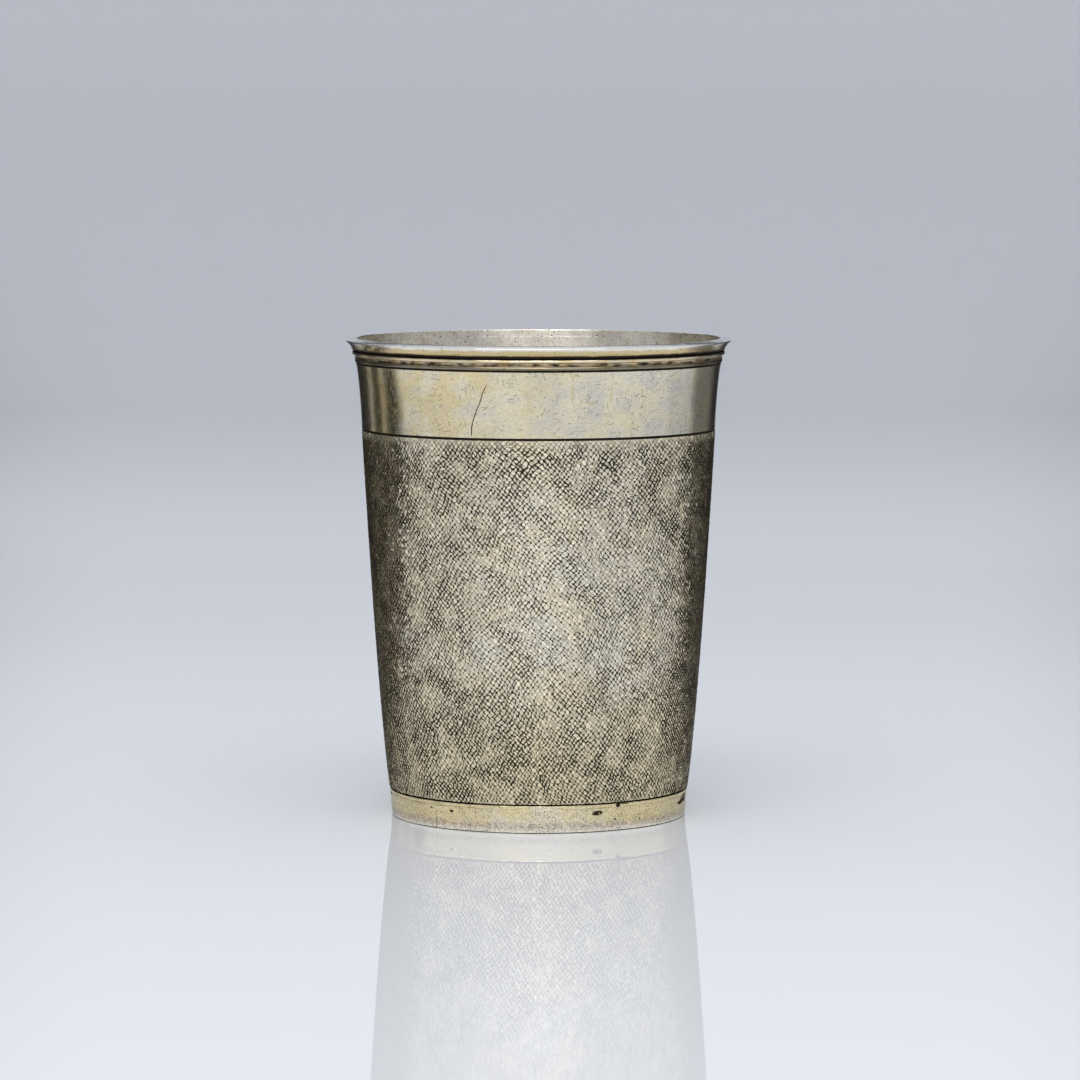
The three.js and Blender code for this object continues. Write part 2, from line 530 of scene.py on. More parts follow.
def noise(tree, place, scale, detail=3.0, stretch=(1, 1, 1), shift=0.0):
    spread = add_node(
        tree,
        "ShaderNodeMapping",
        {"Vector": place, "Scale": stretch, "Location": (shift, shift, shift)},
    ).outputs[0]
    made = add_node(tree, "ShaderNodeTexNoise", {"Vector": spread, "Scale": scale, "Detail": detail})
    return made.outputs["Fac"]


def specks(tree, flat, spacing, share, radius):
    """Dark specks up to a radius: a share of the cells of a scattered flat pattern have one."""
    cells = add_node(
        tree,
        "ShaderNodeTexVoronoi",
        {"Vector": flat, "Scale": 1 / spacing},
        voronoi_dimensions="2D",
    )
    chance = add_node(tree, "ShaderNodeSeparateColor", {0: cells.outputs["Color"]})
    wanted = maths(tree, "GREATER_THAN", chance.outputs[0], 1 - share)
    largest = radius / spacing
    size = maths(tree, "MULTIPLY_ADD", chance.outputs[1], 0.65 * largest, 0.35 * largest)
    inside = maths(tree, "SUBTRACT", size, cells.outputs["Distance"])
    return maths(tree, "MULTIPLY", wanted, ramp(tree, inside, 0.0, 0.3 * largest))


def flattened(tree, arc, height, shift=0.0):
    return add_node(tree, "ShaderNodeCombineXYZ", {"X": arc, "Y": height, "Z": shift}).outputs[0]


def scratches(tree, arc, height, turn_by, spacing, share, radius):
    """Short fine lines that lie one way, drawn as specks that are stretched along it."""
    shift = SCRATCH_SHIFT * turn_by
    bow = maths(tree, "SUBTRACT", noise(tree, flattened(tree, arc, height, shift), 0.3, 1.0), 0.5)
    bent = flattened(tree, arc, maths(tree, "ADD", height, bow), shift)
    turned = add_node(
        tree,
        "ShaderNodeMapping",
        {"Vector": bent, "Rotation": (0, 0, turn_by), "Scale": (SCRATCH_STRETCH, 1, 1)},
        vector_type="TEXTURE",
    ).outputs[0]
    return specks(tree, turned, spacing, share, radius)


def blot(tree, arc, height, middle, half):
    """A soft oval on the unrolled wall, 1 in its middle."""
    across = maths(tree, "DIVIDE", maths(tree, "SUBTRACT", arc, middle[0]), half[0])
    up = maths(tree, "DIVIDE", maths(tree, "SUBTRACT", height, middle[1]), half[1])
    away = add_node(
        tree,
        "ShaderNodeVectorMath",
        {0: flattened(tree, across, up)},
        operation="LENGTH",
    ).outputs["Value"]
    return ramp(tree, away, 1.0, 0.5)


def dirt_and_shade_level(tree, place, raggedness):
    """The dirt that lies in the grooves, and the painted contact shadow along the band's foot, with a
    ragged edge that runs along them.
    """
    lying = add_node(tree, "ShaderNodeAttribute", attribute_name="dirt").outputs["Fac"]
    arc, height = unrolled(tree, place, LIP_TOP_RADIUS)
    along = flattened(tree, arc, height, reach_out(tree, place))
    edge = maths(tree, "SUBTRACT", noise(tree, along, 1.3, 4.0, stretch=(0.3, 1, 1)), 0.5)
    uneven = maths(tree, "ADD", lying, maths(tree, "MULTIPLY", edge, raggedness))
    return ramp(tree, uneven, 0.35, 0.75)


def new_metal(name):
    material = bpy.data.materials.new(name)
    material.use_nodes = True
    shader = material.node_tree.nodes["Principled BSDF"]
    shader.inputs["Metallic"].default_value = 1.0
    return material, material.node_tree, shader


def set_bump(tree, shader, height, depth):
    bump = add_node(tree, "ShaderNodeBump", {"Height": height, "Strength": 1.0, "Distance": depth * MM})
    tree.links.new(bump.outputs["Normal"], shader.inputs["Normal"])


def make_lip_gilt():
    """Worn gilding over silver, with fine scratches, pits and dark grooves."""
    material, tree, shader = new_metal("lip_gilt")
    place = surface(tree)
    arc, height = unrolled(tree, place, LIP_TOP_RADIUS)
    flat = flattened(tree, arc, height)

    # Gilding that is deeper on the left, rubbed in patches, and has run in drips
    left = ramp(tree, arc, 26.0, -26.0, -0.12, 0.14)
    clouds = maths(tree, "ADD", noise(tree, place, 0.17, 6.0), left)
    colour = tint(tree, ramp(tree, clouds, 0.3, 0.5), DULL_GILT, PALE_GILT)
    colour = tint(tree, ramp(tree, clouds, 0.5, 0.72), colour, GILT)
    rubbed = noise(tree, place, 0.3, 6.0, stretch=(0.5, 0.5, 1), shift=9.0)
    rubbed = ramp(tree, rubbed, 0.5, 0.75)
    worn_patch = blot(tree, arc, height, *WORN_PATCH)
    rubbed = maths(tree, "MAXIMUM", rubbed, maths(tree, "MULTIPLY", worn_patch, 0.45))
    colour = tint(tree, maths(tree, "MULTIPLY", rubbed, 0.62), colour, RUBBED_GILT)
    broken = ramp(tree, noise(tree, place, 0.8, 4.0, shift=21.0), 0.38, 0.6, 0.15, 0.75)
    for middle, half in GILT_DRIPS:
        drip = maths(tree, "MULTIPLY", blot(tree, arc, height, middle, half), broken)
        colour = tint(tree, drip, colour, DEEP_GILT)

    # Grain, and painted shade: the lip darker at the front and lighter round the sides, and two soft
    # painted shadows on it
    grain = noise(tree, place, 2.2, 4.0, stretch=(0.5, 0.5, 1), shift=5.0)
    colour = shade(tree, colour, ramp(tree, grain, 0.3, 0.7, 0.9, 1.05))
    # Painted shade: darker at the front of the lip, lighter round its sides
    off_front = maths(tree, "ABSOLUTE", arc)
    colour = shade(tree, colour, ramp(tree, off_front, 4.0, 18.0, 0.91, 1.03))
    fine = noise(tree, place, 6.0, 3.0, stretch=(0.6, 0.6, 1), shift=8.0)
    colour = shade(tree, colour, ramp(tree, fine, 0.3, 0.7, 0.88, 1.07))
    # Painted shadows: soft dark bands down the lip
    for across, deep in LIP_SHADOWS:
        shadow = blot(tree, arc, height, (across, LIP_TOP - LIP_SHADOW_DROP), LIP_SHADOW_HALF)
        colour = shade(tree, colour, ramp(tree, shadow, 0.0, 1.0, 1.0, deep))

    # Specks and scratches, thicker where the lip is scuffed
    scuffed = ramp(tree, noise(tree, place, 0.14, 3.0, shift=14.0), 0.46, 0.6)
    scuffed = maths(tree, "MAXIMUM", scuffed, worn_patch)
    marks = maths(tree, "MULTIPLY", specks(tree, flat, 0.7, 0.25, 0.15), scuffed)
    marks = maths(tree, "MAXIMUM", marks, specks(tree, flat, 1.9, 0.5, 0.2))
    marks = maths(tree, "MAXIMUM", marks, specks(tree, flat, 0.8, 0.18, 0.13))
    lines = maths(tree, "MULTIPLY", scratches(tree, arc, height, 0.05, 0.6, 0.3, 0.08), scuffed)
    for turn_by, spacing, radius in LIP_SCRATCHES:
        cut = scratches(tree, arc, height, turn_by, spacing, 0.3, radius)
        lines = maths(tree, "MAXIMUM", lines, cut)
    colour = tint(tree, maths(tree, "MULTIPLY", lines, 0.75), colour, LIP_SCRATCH)
    colour = tint(tree, maths(tree, "MULTIPLY", marks, 0.85), colour, LIP_SPECK)
    soot = dirt_and_shade_level(tree, place, raggedness=0.3)
    colour = tint(tree, soot, colour, TARNISH)
    tree.links.new(colour, shader.inputs["Base Color"])
    rough = ramp(tree, noise(tree, place, 0.9, 4.0, shift=4.0), 0.3, 0.7, 0.1, 0.2)
    rough = maths(tree, "ADD", rough, maths(tree, "MULTIPLY", soot, 0.4))
    tree.links.new(rough, shader.inputs["Roughness"])
    dents = maths(tree, "MULTIPLY", noise(tree, place, 0.3, 1.0, shift=2.0), 1.5)
    cuts = maths(tree, "ADD", marks, maths(tree, "MULTIPLY", lines, 0.4))
    set_bump(tree, shader, maths(tree, "SUBTRACT", dents, cuts), depth=0.02)
    return material


def make_bowl_silver(name, lies_flat=False):
    """Planished silver that has dulled: soft clouds, brown stains near the mouth and many pits."""
    material, tree, shader = new_metal(name)
    place = surface(tree)
    arc, height = unrolled(tree, place, FIELD_TOP_RADIUS)
    flat = place if lies_flat else flattened(tree, arc, height)
    clouds = ramp(tree, noise(tree, place, 0.12, 5.0), 0.3, 0.7, 0.9, 1.05)
    deep = ramp(tree, height, LIP_TOP - 3.0, LIP_TOP - 18.0)
    colour = shade(tree, tint(tree, deep, BOWL_GILT, BOWL_SILVER), clouds)
    blotches = ramp(tree, noise(tree, place, 0.3, 6.0, shift=11.0), 0.35, 0.65)
    blotches = maths(tree, "MULTIPLY", blotches, ramp(tree, deep, 0.0, 1.0, 0.3, 0.1))
    colour = tint(tree, blotches, colour, BOWL_CLOUD)
    stained = ramp(tree, noise(tree, place, 0.22, 7.0, shift=5.0), 0.5, 0.64)
    stained = maths(tree, "MULTIPLY", stained, ramp(tree, deep, 0.0, 1.0, 0.35, 0.2))
    colour = tint(tree, stained, colour, BOWL_STAIN)
    marks = specks(tree, flat, 1.3, 0.55, 0.22)
    marks = maths(tree, "MAXIMUM", marks, specks(tree, flat, 0.7, 0.6, 0.14))
    marks = maths(tree, "MAXIMUM", marks, specks(tree, flat, 0.4, 0.4, 0.08))
    marks = maths(tree, "MULTIPLY", marks, ramp(tree, deep, 0.0, 1.0, 0.85, 0.45))
    colour = tint(tree, marks, colour, BOWL_SPECK)
    soot = dirt_and_shade_level(tree, place, raggedness=0.4)
    colour = tint(tree, soot, colour, TARNISH)
    tree.links.new(colour, shader.inputs["Base Color"])
    rough = ramp(tree, noise(tree, place, 0.7, 4.0, shift=7.0), 0.3, 0.7, 0.24, 0.36)
    tree.links.new(rough, shader.inputs["Roughness"])
    dents = maths(tree, "MULTIPLY", noise(tree, place, 0.3, 1.0, shift=2.0), 1.5)
    set_bump(tree, shader, maths(tree, "SUBTRACT", dents, marks), depth=0.03)
    return material


def finish_wire(tree, shader, place, colour, raggedness, polish):
    """Pits, dirt with the band foot's painted contact shadow, and a worn polish over a wire's or band's
    own colour.
    """
    arc, height = unrolled(tree, place, LIP_TOP_RADIUS)
    flat = flattened(tree, arc, maths(tree, "ADD", height, reach_out(tree, place)))
    marks = specks(tree, flat, 1.7, 0.45, 0.2)
    marks = maths(tree, "MAXIMUM", marks, specks(tree, flat, 0.9, 0.3, 0.11))
    colour = tint(tree, maths(tree, "MULTIPLY", marks, 0.85), colour, WIRE_SPECK)
    # On the band's foot this level also holds a painted contact shadow
    soot = dirt_and_shade_level(tree, place, raggedness)
    residue = tint(tree, ramp(tree, soot, 0.6, 0.98), BROWN_TARNISH, TARNISH)
    colour = tint(tree, soot, colour, residue)
    tree.links.new(colour, shader.inputs["Base Color"])
    rough = ramp(tree, noise(tree, place, 0.9, 4.0, shift=4.0), 0.3, 0.7, polish, polish + 0.1)
    rough = maths(tree, "ADD", rough, maths(tree, "MULTIPLY", soot, 0.4))
    tree.links.new(rough, shader.inputs["Roughness"])
    dents = maths(tree, "MULTIPLY", noise(tree, place, 0.5, 2.0, shift=2.0), 1.5)
    set_bump(tree, shader, maths(tree, "SUBTRACT", dents, marks), depth=0.025)


def make_rim_silver():
    """Bright silver on the bevel and inside, worn gilding on the underside."""
    material, tree, shader = new_metal("rim_silver")
    place = surface(tree)
    wander = maths(tree, "SUBTRACT", noise(tree, place, 0.3, 5.0), 0.5)
    level = maths(tree, "ADD", level_of(tree, place), wander)
    outside = ramp(tree, reach_out(tree, place), MOUTH_RADIUS + 0.3, MOUTH_RADIUS + 0.5)
    gilded = maths(tree, "MULTIPLY", ramp(tree, level, RIM_TOP - 0.85, RIM_TOP - 1.35), outside)
    colour = tint(tree, gilded, RIM_SILVER, RIM_GILT)
    low = maths(tree, "MULTIPLY", ramp(tree, level, RIM_FOOT + 1.0, RIM_FOOT + 0.5), outside)
    colour = tint(tree, maths(tree, "MULTIPLY", low, 0.8), colour, RIM_BROWN_GILT)
    finish_wire(tree, shader, place, colour, raggedness=0.5, polish=0.06)
    return material


def make_reed_gilt():
    """Pale worn gilding on the upper reed, a painted shadow on the lower reed, and brown in the hollow.
    """
    material, tree, shader = new_metal("reed_gilt")
    place = surface(tree)
    clouds = ramp(tree, noise(tree, place, 0.4, 5.0), 0.4, 0.65)
    colour = tint(tree, clouds, REED_SILVER, REED_GILT)
    # Painted shadow: the lower reed darker, under the bolder upper reed
    shadow = ramp(tree, level_of(tree, place), LOWER_REED_TOP, UPPER_REED_FOOT, 0.32, 1.0)
    colour = shade(tree, colour, shadow)
    finish_wire(tree, shader, place, colour, raggedness=0.8, polish=0.12)
    return material


def make_band_gilt():
    """Cream gilding, golder above and round the sides, with a mauve line over a pale lower edge."""
    material, tree, shader = new_metal("band_gilt")
    place = surface(tree)
    arc, height = unrolled(tree, place, BAND_TOP_RADIUS)
    clouds = maths(tree, "MULTIPLY_ADD", height, 0.06, noise(tree, place, 0.25, 6.0))
    side = ramp(tree, maths(tree, "ABSOLUTE", arc), 8.0, 24.0, 0.0, 0.28)
    golden = ramp(tree, maths(tree, "ADD", clouds, side), 0.55, 0.95)
    colour = tint(tree, golden, BAND_CREAM, BAND_GOLD)
    wander = maths(tree, "SUBTRACT", noise(tree, place, 0.4, 6.0, shift=7.0), 0.5)
    line_height = maths(tree, "MULTIPLY_ADD", wander, 1.2, height)
    stain = ramp(tree, line_height, 0.7, 1.3)
    stain = maths(tree, "MULTIPLY", stain, ramp(tree, line_height, 2.9, 1.5))
    spread = ramp(tree, noise(tree, place, 1.6, 6.0, shift=3.0), 0.35, 0.65)
    stain = maths(tree, "MULTIPLY", stain, spread)
    colour = tint(tree, ramp(tree, line_height, 1.8, 0.6), colour, BAND_EDGE)
    colour = tint(tree, maths(tree, "MULTIPLY", stain, 0.7), colour, MAUVE_TARNISH)
    grime = ramp(tree, noise(tree, place, 0.2, 4.0, shift=6.0), 0.4, 0.65)
    flat = flattened(tree, arc, height)
    fine = maths(tree, "MULTIPLY", specks(tree, flat, 0.55, 0.6, 0.2), grime)
    for turn_by in BAND_SCRATCH_TURNS:
        cut = scratches(tree, arc, height, turn_by, 0.9, 0.28, 0.11)
        fine = maths(tree, "MAXIMUM", fine, cut)
    colour = tint(tree, maths(tree, "MULTIPLY", fine, 0.85), colour, BAND_SPECK)
    mottled = ramp(tree, noise(tree, place, 2.5, 4.0, shift=5.0), 0.3, 0.7, 0.72, 1.16)
    colour = shade(tree, colour, mottled)
    finish_wire(tree, shader, place, colour, raggedness=0.7, polish=0.14)
    return material


def make_soot():
    """Old black residue in pits and cracks, with a little metal that still glints."""
    material, tree, shader = new_metal("pit_soot")
    bare = ramp(tree, noise(tree, surface(tree), 2.2, 3.0), 0.55, 0.68)
    colour = tint(tree, bare, TARNISH, DEEP_GILT)
    tree.links.new(colour, shader.inputs["Base Color"])
    shader.inputs["Roughness"].default_value = 0.4
    return material


def make_chased_silver():
    """The snakeskin: rubbed pale cells, each its own tone, dark tarnish in the gaps, and painted shade
    towards the sides.
    """
    material, tree, shader = new_metal("chased_silver")
    place = surface(tree)
    arc, height = unrolled(tree, place, FIELD_TOP_RADIUS)

    # Warmer low down and where hands have rubbed less
    warm = maths(tree, "MULTIPLY_ADD", noise(tree, place, 0.7, 2.0), 0.6, noise(tree, place, 0.1, 5.0))
    colour = tint(tree, ramp(tree, warm, 0.6, 1.0), CELL_SILVER, CELL_CREAM)
    low = ramp(tree, height, 40.0, 12.0)
    colour = tint(tree, maths(tree, "MULTIPLY", low, 0.8), colour, CELL_LOW_GOLD)
    handled = blot(tree, arc, height, *HANDLED_PATCH)
    colour = tint(tree, ramp(tree, handled, 0.0, 1.0, 0.5, 0.0), colour, CELL_DULL_GOLD)
    own_tone = add_node(tree, "ShaderNodeAttribute", attribute_name="cell_tone").outputs["Fac"]
    colour = shade(tree, colour, own_tone)

    # Tarnish in the gaps: in patches, and less under the chased line; the extra at the sides is painted
    # shade
    lying = add_node(tree, "ShaderNodeAttribute", attribute_name="dirt").outputs["Fac"]
    tarnish_and_side_shade = ramp(tree, noise(tree, place, 0.2, 5.0, shift=3.0), 0.35, 0.65, 0.68, 1.25)
    # Painted shade: the gaps' tarnish deepened from about 26 to 95 mm of arc either side of the front
    off_front = maths(tree, "ABSOLUTE", arc)
    side = ramp(tree, off_front, 26.0, 57.0)
    side = maths(tree, "MULTIPLY", side, ramp(tree, off_front, 95.0, 72.0))
    grime = maths(tree, "MULTIPLY_ADD", side, 0.8, ramp(tree, handled, 0.0, 1.0, 1.26, 1.0))
    tarnish_and_side_shade = maths(tree, "MULTIPLY", tarnish_and_side_shade, grime)
    soot = ramp(tree, maths(tree, "MULTIPLY", lying, tarnish_and_side_shade), 0.2, 0.42)
    soot = maths(tree, "MAXIMUM", soot, maths(tree, "MULTIPLY", steepness(tree, place), 0.92))
    faded = ramp(tree, height, FIELD_TOP, FIELD_TOP - 2.4, 0.45, 1.0)
    soot = maths(tree, "MULTIPLY", soot, faded)
    brown = ramp(tree, noise(tree, place, 0.3, 3.0, shift=8.0), 0.45, 0.75)
    colour = tint(tree, soot, colour, tint(tree, brown, TARNISH, GAP_BROWN))
    tree.links.new(colour, shader.inputs["Base Color"])
    rough = maths(tree, "MULTIPLY_ADD", soot, 0.4, 0.15)
    tree.links.new(rough, shader.inputs["Roughness"])
    shader.inputs["Specular Tint"].default_value = CELL_EDGE_TINT
    set_bump(tree, shader, noise(tree, place, 5.0, 2.0), depth=0.004)
    return material


def field_curve(steps):
    return bend((FIELD_FOOT_RADIUS, FIELD_FOOT), FIELD_BEND, (FIELD_TOP_RADIUS, FIELD_TOP), steps)


def lip_curve(steps):
    start = (FIELD_TOP_RADIUS, FIELD_TOP + LINE_WIDTH)
    return bend(start, LIP_BEND, (LIP_TOP_RADIUS, LIP_TOP), steps)


def lip_radius(height):
    curve = np.array(lip_curve(steps=60))
    return float(np.interp(height, curve[:, 1], curve[:, 0]))


def model_wall():
    """The sheet: lip band, a backing for the snakeskin, and the inside."""
    field = field_curve(steps=20)
    lip = lip_curve(steps=14)
    backing = [(radius - BACKING_DROP, height, 1.0) for radius, height in field]
    line_floor = FIELD_TOP_RADIUS - LINE_DEPTH
    lip_foot = FIELD_TOP + LINE_WIDTH
    clean_foot = lip_foot + SOOT_FADE
    sooty_top = LIP_TOP - SOOT_REACH
    clean_top = sooty_top - SOOT_FADE
    outside = [
        (line_floor, FIELD_TOP + LINE_FOOT_EASE, 1.0),
        (line_floor, lip_foot - LINE_TOP_EASE, 1.0),
        (*lip[0], 1.0),
        (lip_radius(clean_foot), clean_foot, 0.0),
        *clean(lip[1:-1]),
        (lip_radius(clean_top), clean_top, 0.0),
        (lip_radius(sooty_top), sooty_top, 1.0),
        (*lip[-1], 1.0),
    ]
    collar = [
        (COLLAR_FOOT_RADIUS, LIP_TOP, 1.0),
        (collar_radius(REED_TOP), REED_TOP, 1.0),
        (collar_radius(RIM_FOOT), RIM_FOOT, 1.0),
        (COLLAR_RADIUS, WALL_TOP, 1.0),
    ]
    tuck = [
        (tuck_radius(WALL_FOOT), WALL_FOOT, 1.0),
        (tuck_radius(FIELD_FOOT), FIELD_FOOT, 1.0),
    ]
    step = (FIELD_FOOT_RADIUS + STEP_FLARE - SHEET, FIELD_FOOT + STEP_RISE)
    inside = [(radius - SHEET, height) for radius, height in lip[1:][::-1] + field[2:][::-1]]
    below_mouth = (MOUTH_RADIUS - MOUTH_EASE[0], WALL_TOP - MOUTH_EASE[1])
    inside = [(MOUTH_RADIUS, WALL_TOP), below_mouth] + inside + [step]
    inside.append((tuck_radius(FIELD_FOOT) - SHEET, BAND_TOP))
    inside.append((tuck_radius(WALL_FOOT) - SHEET, WALL_FOOT))
    piece = turn("wall_sheet", tuck + backing + outside + collar + clean(inside))
    hammer(piece, depth=0.05, spread=7.0)
    soften_edges(piece, width=0.05)
    finish_piece(piece, "wall", "chased_silver", make_lip_gilt(), make_bowl_silver("bowl_silver"))
    line_with(piece, number=1)
    carve(piece, crack_blade())


def crack_blade():
    """A thin blade that stands in the lip along the crack and narrows at both ends."""
    bpy.ops.object.select_all(action="DESELECT")
    last = len(CRACK_PATH) - 1
    bpy.ops.mesh.primitive_circle_add(vertices=2 * last, radius=1, fill_type="NGON")
    blade = bpy.context.object
    blade.name = "crack_blade"
    sides = [(point, -1) for point in CRACK_PATH[:-1]] + [(point, 1) for point in CRACK_PATH[:0:-1]]
    for vertex, ((bearing, height), side) in zip(blade.data.vertices, sides):
        tip = (bearing, height) in (CRACK_PATH[0], CRACK_PATH[-1])
        radius = lip_radius(height) + CRACK_SINK
        angle = math.radians(bearing) + (0 if tip else side * CRACK_WIDTH / 2 / radius)
        vertex.co = (radius * MM * math.sin(angle), -radius * MM * math.cos(angle), height * MM)
    shrink = 1 - 2 * CRACK_SINK / LIP_TOP_RADIUS
    bpy.ops.object.mode_set(mode="EDIT")
    bpy.ops.mesh.select_all(action="SELECT")
    bpy.ops.mesh.extrude_region()
    bpy.ops.transform.resize(value=(shrink, shrink, 1), center_override=(0, 0, 0))
    bpy.ops.mesh.select_all(action="SELECT")
    bpy.ops.mesh.quads_convert_to_tris()
    bpy.ops.mesh.normals_make_consistent(inside=False)
    bpy.ops.object.mode_set(mode="OBJECT")
    return blade


def carve(piece, cutter):
    """Cuts the cutter's shape out of a piece and leaves soot in the cut."""
    cutter.data.materials.append(bpy.data.materials.get("pit_soot") or make_soot())
    bpy.ops.object.select_all(action="DESELECT")
    piece.select_set(True)
    bpy.context.view_layer.objects.active = piece
    cut = piece.modifiers.new("cut", "BOOLEAN")
    cut.object = cutter
    cut.operation = "DIFFERENCE"
    cut.material_mode = "TRANSFER"
    bpy.ops.object.modifier_apply(modifier=cut.name)
    bpy.ops.object.shade_smooth_by_angle(angle=SHARP_ANGLE)
    bpy.data.objects.remove(cutter)


def model_rim_wire():
    """The rim wire: a bevelled top, a hollowed underside and a rebate for the sheet."""
    rebate = COLLAR_RADIUS + SOLDER
    tip = RIM_TOP - RIM_SLOPE
    brink = MOUTH_RADIUS + RIM_BRINK
    skirt = (rebate + RIM_SKIRT_THICKNESS, RIM_FOOT)
    hollowed = (skirt[0] + RIM_HOLLOW[0], RIM_FOOT + RIM_HOLLOW[1])
    undercut = (RIM_RADIUS - RIM_UNDERCUT[0], tip - RIM_UNDERCUT[1])
    underside = bend(skirt, hollowed, undercut, steps=12)
    sooty = [
        (radius, height, max(0.0, RIM_SOOT - RIM_SOOT_FALL * (height - RIM_FOOT)))
        for radius, height in underside
    ]
    edge_foot = (RIM_RADIUS, tip - RIM_EDGE_EASE[1])
    bevel_foot = (RIM_RADIUS - RIM_EDGE_EASE[0], tip + RIM_SWELL)
    edge = bend(edge_foot, (RIM_RADIUS, tip), bevel_foot, steps=5)
    bevel_middle = ((RIM_RADIUS + MOUTH_RADIUS) / 2, (tip + RIM_TOP) / 2 + RIM_SWELL)
    bevel_top, mouth_side, mouth_foot = [
        (brink + outward, RIM_TOP - down) for outward, down in RIM_BRINK_POINTS
    ]
    mouth = bend(bevel_top, (brink, RIM_TOP), mouth_side, steps=5)
    outline = [
        (MOUTH_RADIUS, WALL_TOP, 0.0),
        (rebate, WALL_TOP, 1.0),
        (rebate, RIM_FOOT, 1.0),
        *sooty,
        *clean(edge),
        (*bevel_middle, 0.0),
        *clean(mouth),
        (*mouth_foot, 0.0),
    ]
    piece = turn("rim_wire_bevelled", outline)
    hammer(piece, depth=0.05, spread=5.0)
    bpy.ops.object.shade_smooth_by_angle(angle=SHARP_ANGLE)
    finish_piece(piece, "rim_wire", "rim_silver", make_rim_silver(), bpy.data.materials["bowl_silver"])
    line_with(piece, number=1)


def model_reeded_wire():
    """The reeded wire: a small reed, a brown hollow and a bolder reed above it."""
    foot, low_edge, high_edge, top = REED_RADII
    lower_bend, hollow_bend, upper_bend = REED_BENDS
    lower_middle = REED_FOOT + LOWER_REED_HEIGHT / 2
    hollow_middle = LOWER_REED_TOP + HOLLOW_HEIGHT / 2
    upper_middle = UPPER_REED_FOOT + UPPER_REED_HEIGHT / 2
    lower = bend((foot, REED_FOOT), (lower_bend, lower_middle), (low_edge, LOWER_REED_TOP), steps=8)
    hollow = bend(lower[-1], (hollow_bend, hollow_middle), (high_edge, UPPER_REED_FOOT), steps=6)
    upper = bend(hollow[-1], (upper_bend, upper_middle), (top, REED_TOP), steps=10)
    outline = [
        (collar_radius(REED_FOOT) + SOLDER, REED_FOOT, 1.0),
        (*lower[0], 1.0),
        (*lower[1], 0.8),
        *clean(lower[2:-1]),
        (*hollow[0], 0.45),
        *[(radius, height, 0.62) for radius, height in hollow[1:-1]],
        (*hollow[-1], 0.5),
        *clean(upper[1:-3]),
        (*upper[-3], 0.48),
        (*upper[-2], 0.9),
        (*upper[-1], 1.0),
        (collar_radius(REED_TOP) + SOLDER, REED_TOP, 1.0),
    ]
    piece = turn("reeded_wire_drawn", outline)
    hammer(piece, depth=0.04, spread=4.0)
    bpy.ops.object.shade_smooth_by_angle(angle=SHARP_ANGLE)
    finish_piece(piece, "reeded_wire", "reed_gilt", make_reed_gilt())


def pit_punch(bearing, height, width, tall, turn_by):
    """A flattened lump, set where a pit goes."""
    bpy.ops.object.select_all(action="DESELECT")
    bpy.ops.mesh.primitive_ico_sphere_add(subdivisions=2, radius=0.5 * MM)
    punch = bpy.context.object
    punch.name = "pit_punch"
    radius = band_radius(height)
    bpy.ops.object.mode_set(mode="EDIT")
    bpy.ops.mesh.select_all(action="SELECT")
    middle = (0, 0, 0)
    bpy.ops.transform.resize(value=(width, 2 * PIT_SINK, tall), center_override=middle)
    bpy.ops.transform.rotate(value=turn_by, orient_axis="Y", center_override=middle)
    bpy.ops.transform.translate(value=(0, -radius * MM, height * MM))
    bpy.ops.transform.rotate(value=-math.radians(bearing), orient_axis="Z", center_override=middle)
    bpy.ops.object.mode_set(mode="OBJECT")
    return punch


def model_foot_band():
    """The foot band: a plain strip with a scored line, rounded where it stands, with dirt and a painted
    contact shadow along the foot, and pitted.
    """
    inside = BAND_FOOT_RADIUS - BAND_THICKNESS
    scored = BAND_TOP - SCORED_DROP
    rings = np.arange(BAND_RING_START, scored - BAND_RING_GAP, BAND_RING_STEP)
    shoulder = BAND_TOP - BAND_TOP_ROUNDING
    outline = [
        # Dirt and a painted contact shadow, darkest on the rounding where the band stands on the table
        (inside, 0, 0.6),
        (BAND_FOOT_RADIUS - BAND_ROUNDING, 0, 1.0),
        (BAND_FOOT_RADIUS - BAND_ROUNDING_MIDDLE[0], BAND_ROUNDING_MIDDLE[1], 0.9),
        (band_radius(BAND_ROUNDING), BAND_ROUNDING, 0.12),
        *[(band_radius(height), height, 0.0) for height in rings],
        (band_radius(scored - SCORED_HALF), scored - SCORED_HALF, 0.0),
        (band_radius(scored) - SCORED_DEPTH, scored, 0.62),
        (band_radius(scored + SCORED_HALF), scored + SCORED_HALF, 0.0),
        (band_radius(shoulder), shoulder, 0.0),
        *[(BAND_TOP_RADIUS - inward, BAND_TOP - down, 1.0) for inward, down in BAND_TOP_EASE],
        (BAND_TOP_RADIUS - BAND_THICKNESS, BAND_TOP, 1.0),
    ]
    piece = turn("foot_band_strip", outline)
    hammer(piece, depth=0.05, spread=6.0)
    soften_edges(piece, width=0.04)
    finish_piece(piece, "foot_band", "band_gilt", make_band_gilt())
    for pit in BAND_PITS:
        carve(piece, pit_punch(*pit))


def model_base_plate():
    """The bottom plate: a shallow dome inside a flat margin."""
    dome_radius = tuck_radius(WALL_FOOT) - SHEET - PLATE_MARGIN

    def dome(level):
        crown = (0.0, level + PLATE_DOME)
        return bend(crown, (dome_radius / 2, level + PLATE_DOME), (dome_radius, level), steps=10)

    outline = [
        *clean(dome(PLATE_LOW)),
        (PLATE_RADIUS, PLATE_LOW, 1.0),
        (PLATE_RADIUS, WALL_FOOT, 1.0),
        *clean(dome(WALL_FOOT)[::-1]),
    ]
    piece = turn("base_plate_domed", outline)
    hammer(piece, depth=0.05, spread=8.0)
    soften_edges(piece, width=0.05)
    finish_piece(piece, "base_plate", "base_silver", make_bowl_silver("base_silver", lies_flat=True))


